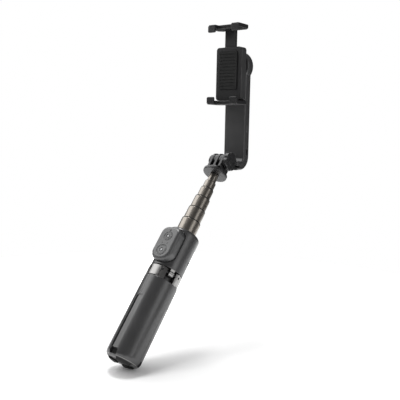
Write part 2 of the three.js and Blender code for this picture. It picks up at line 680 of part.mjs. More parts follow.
// The tongue: two fins that fill the spaces between the rod head's three
function hingeTongue() {
  const finHalf = 1.45;
  let solid = block([-4.62, ARM_FOOT_END + GAP, -7], [4.62, 20.6, -2.2]);
  for (const side of [-1, 1]) {
    const fin = alongX(plate([
      ...arc(0, 0, 7.3, 55, 270, 10),
      [ARM_FOOT_END + 1, -7],
      [ARM_FOOT_END + 1, -2.2],
      [ARM_FOOT_END - GAP, -2.2],
    ], -finHalf, finHalf)).translate([(side * FIN_PITCH) / 2, 0, 0]);
    solid = solid.add(fin);
  }
  return solid.subtract(alongX(cylinder(BOLT_RADIUS + GAP, -20, 20, SMALL_ROUND)));
}

part(head, 'hinge_tongue', hingeTongue(), blackPlastic);

part(head, 'battery', alongFront(plate(roundedRectangle(9.8, 42, 77, 1.5, 3), -ARM_BACK + SKIN + 0.6,
  -POCKET_FRONT - GAP)), batterySilver);
const BOARD_FRONT = POCKET_FRONT + 0.6;
part(head, 'control_board', block([-9.8, BOARD_FRONT, 9], [6.5, BOARD_FRONT + 1, 40.5]), boardGreen);
const socketOutline = roundedRectangle(1.1, -2.9, 2.9, 0.8, 1)
  .map(([across, up]) => [PORT_Y + across, PORT_HEIGHT + up]);
const socketMouth = block([9, PORT_Y - 0.5, PORT_HEIGHT - 2.2], [20, PORT_Y + 0.5, PORT_HEIGHT + 2.2]);
part(head, 'charging_socket', alongX(plate(socketOutline, 7, ARM_HALF_WIDTH - 0.4))
  .subtract(socketMouth), steel);
const switchOutline = [[-1, -3.9], [1, -3.9], [1, 3.9], [-1, 3.9]]
  .map(([across, up]) => [26.5 + across, SWITCH_HEIGHT + up]);
part(head, 'power_button', alongX(plate(switchOutline, 10.8, ARM_HALF_WIDTH + 0.5, 0.3, 1)), softGrey);

// Roll motor: stator and bearing in the arm, rotor on the clamp
function stator() {
  const poles = 9;
  const outline = [];
  for (let i = 0; i < poles; i += 1) {
    const middle = (360 * i) / poles;
    outline.push(...arc(0, 0, 11, middle - 14, middle + 14, 3));
    outline.push(...arc(0, 0, 6.5, middle + 16, middle + 24, 1));
  }
  return alongFront(plate(outline, -ARM_BACK + SKIN + 1.2, -ARM_FRONT - 1.6)
    .subtract(cylinder(3.7, -EVERYTHING, EVERYTHING, SMALL_ROUND))).translate([0, 0, MOTOR_HEIGHT]);
}

part(head, 'motor_stator', stator(), copper);
const bearingBack = -ARM_BACK + SKIN + 1.4;
part(head, 'motor_bearing', alongFront(ring(1.8, 3.4, bearingBack, -ARM_FRONT - 1.8, SMALL_ROUND))
  .translate([0, 0, MOTOR_HEIGHT]), steel);

const ROTOR_FRONT = JAW_BACK + GAP;
part(head, 'motor_rotor', alongFront(turned([
  [0, -ARM_BACK + SKIN - 1.4],
  [1.5, -ARM_BACK + SKIN - 1.4],
  [1.5, -ARM_FRONT - 1],
  [11.7, -ARM_FRONT - 1],
  [11.7, -ARM_BACK + SKIN + 1],
  [MOTOR_BORE - 0.5, -ARM_BACK + SKIN + 1],
  [MOTOR_BORE - 0.5, -ROTOR_FRONT],
  [0, -ROTOR_FRONT],
])).translate([0, 0, MOTOR_HEIGHT]), steel);

// ---- Phone clamp: a fixed lower jaw and a sprung upper jaw on two guide rods ----

const CLAMP_FRONT = 8.6;
const FRAME_FRONT = 10.3;
const CLAMP_BOTTOM = -PHONE_WIDTH / 2; // all heights here are from the motor's axis
const LIFT = MOTOR_HEIGHT;
const SLIDER_BOTTOM = -13;
const FOOT_TOP = SLIDER_BOTTOM + 4;
const CAVITY_TOP = 15.6;
const RODS_Y = 12.7;
const GUIDE_RADIUS = 1.2;
const CLAMP_LOW = CLAMP_BOTTOM + 0.4;

function clampPlate(low, high, inset) {
  return alongFront(plate(roundedRectangle(CLAMP_HALF_WIDTH, CLAMP_LOW, CLAMP_TOP, 3), -high, -low, inset))
    .translate([0, 0, LIFT]);
}

part(head, 'clamp_face', clampPlate(CLAMP_FRONT, FRAME_FRONT - GAP, 0.4), blackPlastic);
const cavity = block([-12, FRAME_FRONT - 1, LIFT + CLAMP_LOW + 1.8], [12, 15.4, LIFT + CAVITY_TOP]);
const sliderSlot = block([-6.9, FRAME_FRONT - 1, LIFT], [6.9, 14.6, LIFT + CLAMP_TOP + 1]);
const clampFrame = clampPlate(FRAME_FRONT, JAW_BACK, 1).subtract(cavity).subtract(sliderSlot);
part(head, 'clamp_frame', clampFrame, charcoal);

const BACK_PAD = 7.3;
part(head, 'back_pad', alongFront(plate(roundedRectangle(11, -24, 14, 2, 3), -CLAMP_FRONT + GAP, -BACK_PAD))
  .translate([0, 0, LIFT]), rubber);

// A jaw as it lies below the phone: a plate with two hooks over the phone's front edge.
// Its top face, where its pad lies, is at height 0
function jaw() {
  const chamfer = 4;
  const outline = [
    [-JAW_HALF_WIDTH, JAW_FRONT],
    [-9.6, JAW_FRONT],
    [-9.6, 3.2],
    [9.6, 3.2],
    [9.6, JAW_FRONT],
    [JAW_HALF_WIDTH, JAW_FRONT],
    [JAW_HALF_WIDTH, JAW_BACK - chamfer],
    [JAW_HALF_WIDTH - chamfer, JAW_BACK],
    [-JAW_HALF_WIDTH + chamfer, JAW_BACK],
    [-JAW_HALF_WIDTH, JAW_BACK - chamfer],
  ];
  let solid = plate(outline, -JAW_THICKNESS, 0, 0.5, 1);
  for (const side of [-1, 1]) {
    const low = Math.min(side * 9.6, side * JAW_HALF_WIDTH);
    const high = Math.max(side * 9.6, side * JAW_HALF_WIDTH);
    const hook = alongFront(plate([
      [low, -JAW_THICKNESS + 1], [high, -JAW_THICKNESS + 1], [high, HOOK_HEIGHT - 1.4],
      [high - 1.4, HOOK_HEIGHT], [low + 1.4, HOOK_HEIGHT], [low, HOOK_HEIGHT - 1.4],
    ], -PHONE_FRONT + 0.25, -JAW_FRONT, 0.3, 1));
    solid = solid.add(hook);
  }
  const padRoom = block([-JAW_HALF_WIDTH + 1.2, 1.2, -1.2], [JAW_HALF_WIDTH - 1.2, PHONE_BACK - 0.2, 1]);
  return solid.subtract(padRoom.subtract(block([-9.9, 0, -2], [9.9, 3.5, 2])));
}

function jawPad() {
  return block([-JAW_HALF_WIDTH + 1.5, 3.8, -0.9], [JAW_HALF_WIDTH - 1.5, PHONE_BACK - 0.5, 0.1]);
}

const jawFace = PHONE_WIDTH / 2 + 0.1;
const lowerPlace = [0, 0, LIFT - jawFace];
part(head, 'lower_jaw', jaw().translate(lowerPlace), charcoal);
part(head, 'lower_jaw_pad', jawPad().translate(lowerPlace), rubber);

function upside(solid) {
  return solid.mirror([0, 0, 1]).translate([0, 0, LIFT + jawFace]);
}

function upperJaw() {
  const slider = block([-6.5, 10.9, SLIDER_BOTTOM], [6.5, 14.1, jawFace + 1]);
  const foot = block([-11.6, 10.9, SLIDER_BOTTOM], [11.6, 14.8, FOOT_TOP]);
  let solid = upside(jaw()).add(slider.add(foot).translate([0, 0, LIFT]));
  for (const side of [-1, 1]) {
    const hole = cylinder(GUIDE_RADIUS + GAP, SLIDER_BOTTOM - 1, FOOT_TOP + 1, SMALL_ROUND)
      .translate([side * ROD_SPREAD, RODS_Y, LIFT]);
    solid = solid.subtract(hole);
  }
  return solid;
}

part(head, 'upper_jaw', upperJaw(), charcoal);
part(head, 'upper_jaw_pad', upside(jawPad()), rubber);

class Helix extends THREE.Curve {
  constructor(radius, low, high, turns) {
    super();
    Object.assign(this, { radius, low, high, turns });
  }

  getPoint(t, target = new THREE.Vector3()) {
    const angle = 2 * Math.PI * this.turns * t;
    const height = this.low + (this.high - this.low) * t;
    return target.set(this.radius * Math.cos(angle), this.radius * Math.sin(angle), height);
  }
}

const WIRE = 0.32;
function spring(low, high) {
  const turns = 6;
  const wire = new THREE.Shape();
  wire.absarc(0, 0, WIRE, 0, 2 * Math.PI);
  return toSolid(new THREE.ExtrudeGeometry(wire, {
    steps: turns * 8,
    curveSegments: 2,
    extrudePath: new Helix(GUIDE_RADIUS + 0.75, low + WIRE, high - WIRE, turns),
  }));
}

for (const [side, x] of [['left', -ROD_SPREAD], ['right', ROD_SPREAD]]) {
  const place = [x, RODS_Y, LIFT];
  const guide = cylinder(GUIDE_RADIUS, CLAMP_LOW + 2.1, CAVITY_TOP - GAP, SMALL_ROUND);
  part(head, `guide_rod_${side}`, guide.translate(place), steel);
  part(head, `jaw_spring_${side}`, spring(FOOT_TOP + GAP, CAVITY_TOP - GAP).translate(place), steel);
}

export default gimbal;
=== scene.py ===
"""Looks of the phone gimbal: smooth shells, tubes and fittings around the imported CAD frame.

Pieces are made in millimetres, in one of two frames that share the tilt hinge as their origin: the
rod's frame, +Z up the rod and -Y out of the remote's face, and the head's frame, parallel to the
model's. They move to their places in the model when they are finished.
"""

import json
import math

import bmesh
import bpy
from mathutils import Matrix, Vector


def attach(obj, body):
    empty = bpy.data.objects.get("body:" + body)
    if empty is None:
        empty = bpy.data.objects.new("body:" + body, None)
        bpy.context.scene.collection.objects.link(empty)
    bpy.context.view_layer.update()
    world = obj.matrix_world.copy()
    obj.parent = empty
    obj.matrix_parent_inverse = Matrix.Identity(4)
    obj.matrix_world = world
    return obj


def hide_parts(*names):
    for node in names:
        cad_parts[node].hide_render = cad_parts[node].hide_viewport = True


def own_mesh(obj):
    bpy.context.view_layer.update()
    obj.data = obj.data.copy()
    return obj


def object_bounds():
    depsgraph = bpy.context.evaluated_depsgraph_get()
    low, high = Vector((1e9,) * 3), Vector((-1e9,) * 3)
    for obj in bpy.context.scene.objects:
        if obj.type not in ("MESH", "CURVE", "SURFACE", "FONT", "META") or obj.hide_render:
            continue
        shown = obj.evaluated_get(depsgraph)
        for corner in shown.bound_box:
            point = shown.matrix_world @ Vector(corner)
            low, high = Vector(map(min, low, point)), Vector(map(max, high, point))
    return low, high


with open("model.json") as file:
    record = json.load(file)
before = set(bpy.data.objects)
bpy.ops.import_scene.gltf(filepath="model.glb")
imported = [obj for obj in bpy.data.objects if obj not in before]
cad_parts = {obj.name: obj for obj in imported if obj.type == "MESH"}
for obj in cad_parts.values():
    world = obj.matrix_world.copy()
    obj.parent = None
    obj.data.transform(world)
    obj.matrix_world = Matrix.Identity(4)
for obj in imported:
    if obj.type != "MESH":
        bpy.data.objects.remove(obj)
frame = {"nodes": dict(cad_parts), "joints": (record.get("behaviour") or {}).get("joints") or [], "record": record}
cad_low, cad_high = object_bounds()
CENTRE = (Vector(cad_low) + Vector(cad_high)) / 2
MM = 0.001

# ---- Places worked out from the frame ----

joints = {joint["name"]: joint for joint in frame["joints"]}
HINGE = Vector(joints["arm_tilt"]["pos_m"])
ROD_UP = Vector(joints["tube_1_slide"]["axis"]).normalized()
SIDE = Vector((1, 0, 0))
ROD = Matrix.Translation(HINGE) @ Matrix((SIDE, ROD_UP.cross(SIDE), ROD_UP)).transposed().to_4x4()
HEAD = Matrix.Translation(HINGE)
HEAD_BODIES = ("knob", "arm", "power_button", "clamp", "upper_jaw")

node_slot = {entry["node"]: entry["material_slot"] for entry in frame["record"]["subparts"]}
node_body = {}
for body_name, members in frame["record"]["behaviour"]["bodies"].items():
    for member in members:
        node_body[member] = body_name


def frame_of(node):
    """From the node's own frame, in millimetres, to the model."""
    return (HEAD if node_body[node] in HEAD_BODIES else ROD) @ Matrix.Scale(MM, 4)


def span(node):
    """A node's lowest and highest corner in its own frame."""
    inverse = frame_of(node).inverted()
    points = [inverse @ vertex.co for vertex in frame["nodes"][node].data.vertices]
    low = Vector([min(point[axis] for point in points) for axis in range(3)])
    high = Vector([max(point[axis] for point in points) for axis in range(3)])
    return low, high


def middle(node):
    """The middle of a node's box in its own frame."""
    low, high = span(node)
    return (low + high) / 2


# ---- Outlines ----

def arc(cx, cy, radius, start, end, steps=12):
    """Points on an arc, both ends included, in degrees."""
    points = []
    for i in range(steps + 1):
        angle = math.radians(start + (end - start) * i / steps)
        points.append((cx + radius * math.cos(angle), cy + radius * math.sin(angle)))
    return points


def rounded(corners, steps=6):
    """An outline through corners (x, y) or (x, y, radius), with each radius worked in."""
    points = []
    count = len(corners)
    for i, corner in enumerate(corners):
        here = Vector(corner[:2])
        radius = corner[2] if len(corner) > 2 else 0
        if not radius:
            points.append(tuple(here))
            continue
        back = (Vector(corners[i - 1][:2]) - here).normalized()
        ahead = (Vector(corners[(i + 1) % count][:2]) - here).normalized()
        half = back.angle(ahead) / 2
        centre = here + (back + ahead).normalized() * radius / math.sin(half)
        first = here + back * radius / math.tan(half) - centre
        last = here + ahead * radius / math.tan(half) - centre
        start = math.atan2(first.y, first.x)
        turn = math.atan2(first.x * last.y - first.y * last.x, first.dot(last))
        for k in range(steps + 1):
            angle = start + turn * k / steps
            points.append((centre.x + radius * math.cos(angle), centre.y + radius * math.sin(angle)))
    return points


def rectangle(x0, y0, x1, y1, radius=0, steps=6):
    return rounded([(x0, y0, radius), (x1, y0, radius), (x1, y1, radius), (x0, y1, radius)], steps)


def anticlockwise(outline):
    area = sum(a[0] * b[1] - b[0] * a[1] for a, b in zip(outline, outline[1:] + outline[:1]))
    return outline if area > 0 else outline[::-1]


def inset(outline, distance):
    """An anticlockwise outline moved inwards."""
    result = []
    count = len(outline)
    for i in range(count):
        before, here, after = (Vector(outline[k % count]) for k in (i - 1, i, i + 1))
        into = (here - before).normalized()
        away = (after - here).normalized()
        normal = Vector((-into.y - away.y, into.x + away.x)).normalized()
        reach = distance / max(0.3, normal.dot(Vector((-into.y, into.x))))
        result.append(tuple(here + normal * reach))
    return result


def eased(points):
    """Rounds the corners of an outline by cutting them twice."""
    for _ in range(2):
        cuts = []
        for a, b in zip(points, points[1:] + points[:1]):
            a, b = Vector(a), Vector(b)
            cuts += [tuple(a.lerp(b, 0.25)), tuple(a.lerp(b, 0.75))]
        points = cuts
    return points


# ---- Frames that pieces are made in ----

def along_x(place):
    """The frame whose Z runs along X, and whose X and Y run along Y and Z."""
    return place @ Matrix(((0, 0, 1, 0), (1, 0, 0, 0), (0, 1, 0, 0), (0, 0, 0, 1)))


def along_front(place):
    """The frame whose Z runs out of the front (-Y), and whose Y runs along Z."""
    return place @ Matrix(((1, 0, 0, 0), (0, 0, -1, 0), (0, 1, 0, 0), (0, 0, 0, 1)))


def shifted(place, x=0.0, y=0.0, z=0.0):
    return place @ Matrix.Translation((x, y, z))


def turned(place, degrees):
    return place @ Matrix.Rotation(math.radians(degrees), 4, "Z")


HERE = Matrix()
SIDEWAYS = along_x(HERE)
FRONT = along_front(HERE)


# ---- Solids ----

def new_object(name, mesh):
    obj = bpy.data.objects.new(name, mesh)
    bpy.context.scene.collection.objects.link(obj)
    return obj


def from_bmesh(name, bm, place):
    bmesh.ops.remove_doubles(bm, verts=bm.verts, dist=1e-4)
    bmesh.ops.recalc_face_normals(bm, faces=bm.faces)
    bm.transform(place)
    if place.determinant() < 0:
        bmesh.ops.reverse_faces(bm, faces=bm.faces)
    mesh = bpy.data.meshes.new(name)
    bm.to_mesh(mesh)
    bm.free()
    return new_object(name, mesh)


def plate(name, outline, low, high, place, edge=0.0, steps=4, bottom=True):
    """A flat outline from low to high along Z, with its top edge, and its bottom edge too, rounded."""
    outline = anticlockwise(outline)
    turns = [math.radians(90 * k / steps) for k in range(steps + 1)]
    levels = [(0, low), (0, high)]
    if edge:
        under = [(edge * (1 - math.sin(turn)), low + edge * (1 - math.cos(turn))) for turn in turns]
        over = [(edge * (1 - math.cos(turn)), high - edge * (1 - math.sin(turn))) for turn in turns]
        levels = (under if bottom else [(0, low)]) + over
    bm = bmesh.new()
    layers = []
    for offset, height in levels:
        ring = inset(outline, offset) if offset > 1e-6 else outline
        layers.append([bm.verts.new((x, y, height)) for x, y in ring])
    bm.faces.new(layers[0][::-1])
    bm.faces.new(layers[-1])
    count = len(outline)
    for under, over in zip(layers, layers[1:]):
        for i in range(count):
            j = (i + 1) % count
            bm.faces.new([under[i], under[j], over[j], over[i]])
    return from_bmesh(name, bm, place)


def lathe(name, profile, place, sides=96):
    """A solid turned about Z from (radius, height) points that start and end on the axis, or close."""
    on_axis = profile[0][0] < 1e-6
    bm = bmesh.new()
    rings = []
    for i in range(sides):
        turn = 2 * math.pi * i / sides
        rings.append([bm.verts.new((r * math.cos(turn), r * math.sin(turn), h)) for r, h in profile])
    count = len(profile)
    for i in range(sides):
        a, b = rings[i], rings[(i + 1) % sides]
        for j in range(count - 1 if on_axis else count):
            k = (j + 1) % count
            corners = [a[j], b[j], b[k], a[k]]
            if profile[j][0] < 1e-6:
                corners = [a[j], b[k], a[k]]
            elif profile[k][0] < 1e-6:
                corners = [a[j], b[j], a[k]]
            bm.faces.new(corners)
    return from_bmesh(name, bm, place)


def cylinder(name, radius, low, high, place, sides=64):
    return lathe(name, [(0, low), (radius, low), (radius, high), (0, high)], place, sides)


def ring(name, inner, outer, low, high, place):
    return lathe(name, [(inner, low), (outer, low), (outer, high), (inner, high)], place)


def block(name, low, high, place):
    return plate(name, rectangle(low[0], low[1], high[0], high[1]), low[2], high[2], place)


def combine(target, tools, operation):
    for tool in tools:
        step = target.modifiers.new("join", "BOOLEAN")
        step.operation = operation
        step.solver = "EXACT"
        step.object = tool
    apply_modifiers(target)
    for tool in tools:
        bpy.data.objects.remove(tool)
    return target


def cut(target, *tools):
    return combine(target, tools, "DIFFERENCE")


def join(target, *tools):
    return combine(target, tools, "UNION")


def keep(target, *tools):
    return combine(target, tools, "INTERSECT")


def twin(obj, name):
    return new_object(name, obj.data.copy())


def apply_modifiers(obj):
    depsgraph = bpy.context.evaluated_depsgraph_get()
    mesh = bpy.data.meshes.new_from_object(obj.evaluated_get(depsgraph), depsgraph=depsgraph)
    obj.modifiers.clear()
    old = obj.data
    obj.data = mesh
    bpy.data.meshes.remove(old)


CREASE = 40
WELD = 2e-3


def soften(obj, width=0.25, segments=3, crease=30):
    """Joins coplanar faces, rounds the sharp edges and shades the rest smooth."""
    bm = bmesh.new()
    bm.from_mesh(obj.data)
    bmesh.ops.remove_doubles(bm, verts=bm.verts, dist=WELD)
    bmesh.ops.dissolve_degenerate(bm, edges=bm.edges, dist=WELD)
    bmesh.ops.dissolve_limit(bm, angle_limit=math.radians(0.4), verts=bm.verts, edges=bm.edges)
    bm.to_mesh(obj.data)
    bm.free()
    bevel = obj.modifiers.new("bevel", "BEVEL")
    bevel.width = width
    bevel.segments = segments
    bevel.limit_method = "ANGLE"
    bevel.angle_limit = math.radians(crease)
    apply_modifiers(obj)
    return smooth(obj)


def smooth(obj):
    """Shades the surface smooth except over its creases, with large faces kept flat."""
    mesh = obj.data
    mesh.polygons.foreach_set("use_smooth", [True] * len(mesh.polygons))
    bm = bmesh.new()
    bm.from_mesh(mesh)
    for edge in bm.edges:
        edge.smooth = len(edge.link_faces) == 2 and edge.calc_face_angle(0) < math.radians(CREASE)
    bm.to_mesh(mesh)
    bm.free()
    weighted = obj.modifiers.new("normals", "WEIGHTED_NORMAL")
    weighted.keep_sharp = True
    apply_modifiers(obj)
    return obj


# ---- Materials ----

NOISE_LOW = 0.3
NOISE_HIGH = 0.7
GLOSS_SPREAD = 0.05
GRAIN_DEPTH = 0.00002
SCRATCH_GLOSS = 0.06
SCRATCH_DEPTH = 0.00001


def material(name, build):
    finish = bpy.data.materials.new(name)
    finish.use_nodes = True
    tree = finish.node_tree
    build(tree, tree.nodes["Principled BSDF"])
    return finish


def noise(tree, scale, detail=4.0, rough=0.5, stretch=None):
    coords = tree.nodes.new("ShaderNodeTexCoord")
    texture = tree.nodes.new("ShaderNodeTexNoise")
    texture.inputs["Scale"].default_value = scale
    texture.inputs["Detail"].default_value = detail
    texture.inputs["Roughness"].default_value = rough
    source = coords.outputs["Object"]
    if stretch:
        mapping = tree.nodes.new("ShaderNodeMapping")
        mapping.inputs["Rotation"].default_value = (math.asin(ROD_UP.y), 0, 0)
        mapping.inputs["Scale"].default_value = stretch
        tree.links.new(source, mapping.inputs["Vector"])
        source = mapping.outputs["Vector"]
    tree.links.new(source, texture.inputs["Vector"])
    return texture.outputs["Fac"]


def remap(tree, value, low, high, start=NOISE_LOW, end=NOISE_HIGH):
    """Spreads a value from start..end over low..high."""
    node = tree.nodes.new("ShaderNodeMapRange")
    node.inputs["From Min"].default_value = start
    node.inputs["From Max"].default_value = end
    node.inputs["To Min"].default_value = low
    node.inputs["To Max"].default_value = high
    tree.links.new(value, node.inputs["Value"])
    return node.outputs["Result"]


def tint(tree, value, colour, spread):
    """A colour that is darker where the value is low and lighter where it is high."""
    ramp = tree.nodes.new("ShaderNodeValToRGB")
    dark, light = ramp.color_ramp.elements
    dark.position = NOISE_LOW
    dark.color = (*(c * (1 - spread) for c in colour), 1)
    light.position = NOISE_HIGH
    light.color = (*(min(1, c * (1 + spread)) for c in colour), 1)
    tree.links.new(value, ramp.inputs["Fac"])
    return ramp.outputs["Color"]


def bump(tree, shader, height, strength, distance):
    node = tree.nodes.new("ShaderNodeBump")
    node.inputs["Strength"].default_value = strength
    node.inputs["Distance"].default_value = distance
    tree.links.new(height, node.inputs["Height"])
    tree.links.new(node.outputs["Normal"], shader.inputs["Normal"])


def moulded(name, colour, roughness, grain=2500, gleam=0.5):
    """Textured moulded plastic: fine grain and patches of slightly different gloss and shade."""
    def build(tree, shader):
        shader.inputs["Specular IOR Level"].default_value = gleam
        tree.links.new(tint(tree, noise(tree, 70, 4), colour, 0.12), shader.inputs["Base Color"])
        patches = noise(tree, 30, 6, 0.6)
        gloss = remap(tree, patches, roughness - GLOSS_SPREAD, roughness + GLOSS_SPREAD)
        tree.links.new(gloss, shader.inputs["Roughness"])
        bump(tree, shader, noise(tree, grain, 2), 0.4, GRAIN_DEPTH)
    return material(name, build)


def metal(name, colour, roughness, stretch=None):
    """Metal with fine scratches, drawn out along the rod where stretch says so."""
    def build(tree, shader):
        shader.inputs["Metallic"].default_value = 1.0
        tree.links.new(tint(tree, noise(tree, 50, 4), colour, 0.06), shader.inputs["Base Color"])
        marks = noise(tree, 900, 4, 0.6, stretch)
        gloss = remap(tree, marks, roughness, roughness + SCRATCH_GLOSS)
        tree.links.new(gloss, shader.inputs["Roughness"])
        bump(tree, shader, marks, 0.06, SCRATCH_DEPTH)
    return material(name, build)


FINISHES = {
    "charcoal_shell": moulded("charcoal", (0.034, 0.034, 0.035), 0.34, gleam=1.0),
    "remote_grey": moulded("remote_grey", (0.05, 0.051, 0.052), 0.42, gleam=1.0),
    "black_plastic": moulded("black_plastic", (0.012, 0.012, 0.013), 0.38, gleam=0.7),
    "rubber": moulded("rubber", (0.010, 0.010, 0.010), 0.8, grain=3500),
    "champagne_steel": metal("champagne_steel", (0.3, 0.275, 0.245), 0.3, (1, 1, 0.08)),
    "satin_metal": metal("satin_metal", (0.34, 0.335, 0.33), 0.3),
    "steel": metal("steel", (0.5, 0.5, 0.52), 0.28),
    "copper": metal("copper", (0.7, 0.35, 0.16), 0.35),
    "board": moulded("board", (0.02, 0.09, 0.05), 0.4),
    "battery_wrap": metal("battery_wrap", (0.5, 0.52, 0.55), 0.4),
    "pale_lens": moulded("pale_lens", (0.45, 0.46, 0.47), 0.25),
}
# Nodes drawn in black plastic, whatever they are made of. The screws, pins, status light and socket sit in holes
# and gaps, and their black is painted shade there; the jaws are drawn black as well.
BLACK_PLASTIC_AND_SHADE = {
    "leg_pin_left", "leg_pin_right", "leg_pin_rear", "body_screw_left", "body_screw_right",
    "remote_light", "charging_socket", "lower_jaw", "upper_jaw",
}
replaced = set()


def put(obj, node, slot=None, stands_for=True):
    """Finishes a piece, rides it on the node's body and, unless it is an extra, shows it for the node."""
    slot = slot or node_slot[node]
    obj.data.transform(frame_of(node))
    obj.data.materials.clear()
    # Black for the listed nodes: painted shade for those in holes and gaps.
    obj.data.materials.append(FINISHES["black_plastic" if node in BLACK_PLASTIC_AND_SHADE else slot])
    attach(obj, node_body[node])
    if stands_for:
        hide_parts(node)
        replaced.add(node)
    return obj


# ---- Rod tubes ----

TUBES = 6
TUBE_PLAY = 0.15
TUBE_WALL = 0.5


def tubes():
    """Each tube has a rolled lip and, past it, a thin black guide ring round the next tube.

    The last ring is low, which keeps it clear of the rod's head when the tubes are pushed in.
    """
    for i in range(1, TUBES + 1):
        node = f"rod_tube_{i}"
        low, high = span(node)
        radius = high.x
        last = i == TUBES
        inner = radius - TUBE_WALL if last else span(f"rod_tube_{i + 1}")[1].x + TUBE_PLAY
        profile = rounded([
            (inner, low.z), (radius, low.z, 0.15), (radius, high.z, 0.3), (inner, high.z, 0.1),
        ], 4)
        put(smooth(lathe(f"tube_{i}", profile, HERE)), node)
        if last:
            continue
        rise = 0.4 if i == TUBES - 1 else 1
        collar = rounded([
            (inner - 0.05, high.z - 1), (radius - 0.2, high.z - 1),
            (radius - 0.05, high.z + rise, 0.3), (inner - 0.05, high.z + rise, 0.1),
        ], 3)
        put(smooth(lathe(f"guide_ring_{i}", collar, HERE)), node, "rubber", stands_for=False)


# ---- Rod head and its knob ----
# Here and below, radii are from the piece's own axis and heights are from the tilt hinge.

SPIGOT_RADIUS = 3.4
DISC_BOTTOM = -17.2
DISC_TOP = -13.8
NECK_TOP = -10.2
FIN_PITCH = 6.35
FIN_HALF = 1.4
BORE_RADIUS = 2.7
LOBES = 6
LOBE_HALF_ANGLE = 18
VALLEY_RADIUS = 8.3
DISH_DEPTH = 0.55


def rod_head():
    """A spigot in the last tube, a disc, a neck and the three fins of the tilt hinge."""
    low, high = span("rod_head")
    profile = rounded([
        (0, low.z), (SPIGOT_RADIUS, low.z, 0.4), (SPIGOT_RADIUS, DISC_BOTTOM), (high.x, DISC_BOTTOM, 0.9),
        (high.x, DISC_TOP, 0.9), (8.4, DISC_TOP, 0.6), (8.1, NECK_TOP, 0.5), (0, NECK_TOP),
    ], 5)
    piece = lathe("head_disc", profile, HERE, 128)
    fin_radius = high.z
    outline = arc(0, 0, fin_radius, 0, 180, 32)
    outline += [(-fin_radius, NECK_TOP - 0.7), (fin_radius, NECK_TOP - 0.7)]
    fins = []
    for side in (-1, 0, 1):
        place = shifted(SIDEWAYS, z=side * FIN_PITCH)
        fins.append(plate("fin", outline, -FIN_HALF, FIN_HALF, place, 0.45, 3))
    join(piece, *fins)
    cut(piece, cylinder("bore", BORE_RADIUS, -20, 20, SIDEWAYS, 48))
    put(soften(piece, 0.2, 2, 40), "rod_head")


def knob():
    """A lobed knob with a dished face, and a small round cap in the dish."""
    low, high = span("thumb_knob")
    face = high.x
    pitch = 360 / LOBES
    outline = []
    for i in range(LOBES):
        lobe = pitch * i
        outline += arc(0, 0, high.y, lobe - LOBE_HALF_ANGLE, lobe + LOBE_HALF_ANGLE, 8)
        valley = math.radians(lobe + pitch / 2)
        outline.append((VALLEY_RADIUS * math.cos(valley), VALLEY_RADIUS * math.sin(valley)))
    piece = plate("knob", eased(outline), low.x, face, SIDEWAYS, 0.9, 5)
    dish = [(0, face - DISH_DEPTH), (4.6, face - DISH_DEPTH), (6.4, face + 0.3), (0, face + 0.3)]
    cut(piece,
        lathe("dish", dish, SIDEWAYS),
        cylinder("bore", BORE_RADIUS, low.x - 1, low.x + 2.9, SIDEWAYS, 48))
    put(soften(piece, 0.15, 2, 35), "thumb_knob")
    cap = rounded([(0, face - 0.9), (3.2, face - 0.9), (3.2, face - 0.15, 0.4), (0, face - 0.15)], 5)
    put(smooth(lathe("knob_cap", cap, SIDEWAYS)), "thumb_knob", "black_plastic", stands_for=False)


def hinge_nut():
    low, high = span("hinge_nut")
    depth = 2.9
    profile = rounded([
        (0, low.x), (5.0, low.x, 0.5), (6.3, low.x + 1.2, 0.8), (6.4, high.x, 0.2),
        (BORE_RADIUS, high.x), (BORE_RADIUS, high.x - depth), (0, high.x - depth),
    ], 5)
    put(smooth(lathe("nut", profile, SIDEWAYS)), "hinge_nut")


# ---- Grip body and the remote on it ----
# SEAT and SIDE_GROOVE are how far the floors of the remote's seat and its side grooves lie from the axis.

TUBE_BORE = 9.8
BODY_BORE = 11.4
SCREW_ROOM = 1.95
SEAT = 11.9
SEAT_MARGIN = 0.9
SIDE_GROOVE = 9.3
REMOTE_WALL = 1.6
NOTCH_HALF = 9.2
TICK_LOW = -112
TICK_LENGTH = 1.6


def remote_outline(margin, steps=10):
    """The remote's face outline grown by a margin: round at the top and fuller at the bottom."""
    low, high = span("remote_case")
    half = high.x + margin
    return rounded([
        (-half, low.z - margin, 9.5 + margin), (half, low.z - margin, 9.5 + margin),
        (half, high.z + margin, 7 + margin), (-half, high.z + margin, 7 + margin),
    ], steps)


def body_shells():
    """A round shell split in two, with the remote's seat in its front and a bush at its top."""
    low, high = span("body_rear_shell")
    radius, bottom, top = high.x, low.z, high.z
    profile = rounded([
        (BODY_BORE, bottom), (radius, bottom, 0.7), (radius, top, 3.8), (BODY_BORE, top, 0.2),
    ], 8)
    body = lathe("front_body", profile, HERE, 128)
    rear = twin(body, "rear_body")
    split = low.y
    far = 60
    keep(rear, block("rear_half", (-far, split - 0.05, bottom - 5), (far, far, top + 5), HERE))
    keep(body, block("front_half", (-far, -far, bottom - 5), (far, split - 0.2, top + 5), HERE))
    grooves = plate("grooves", remote_outline(SEAT_MARGIN), SIDE_GROOVE, SEAT + 1, FRONT, 0.6)
    cut(grooves, block("between", (-8.8, bottom, 0), (8.8, top, 30), FRONT))
    cut(grooves, cylinder("core", BODY_BORE + 0.7, bottom - 5, top + 5, HERE, 96))
    seat = plate("seat", remote_outline(SEAT_MARGIN), SEAT, 40, FRONT)
    cut(body, seat, grooves)
    for node in ("body_screw_left", "body_screw_right"):
        screw = middle(node)
        tip = -span(node)[0].y
        cut(rear, cylinder("screw_room", SCREW_ROOM, -30, tip + 2, shifted(FRONT, screw.x, screw.z), 32))
    put(soften(body, 0.35, 3, 32), "body_front_shell")
    put(soften(rear, 0.2, 2, 32), "body_rear_shell")


def bush():
    low, high = span("rod_bush")
    outer = BODY_BORE - 0.2
    top = high.z + 0.1
    profile = rounded([(TUBE_BORE, low.z), (outer, low.z), (outer, top, 0.4), (TUBE_BORE, top, 0.2)], 4)
    put(smooth(lathe("bush", profile, HERE)), "rod_bush")


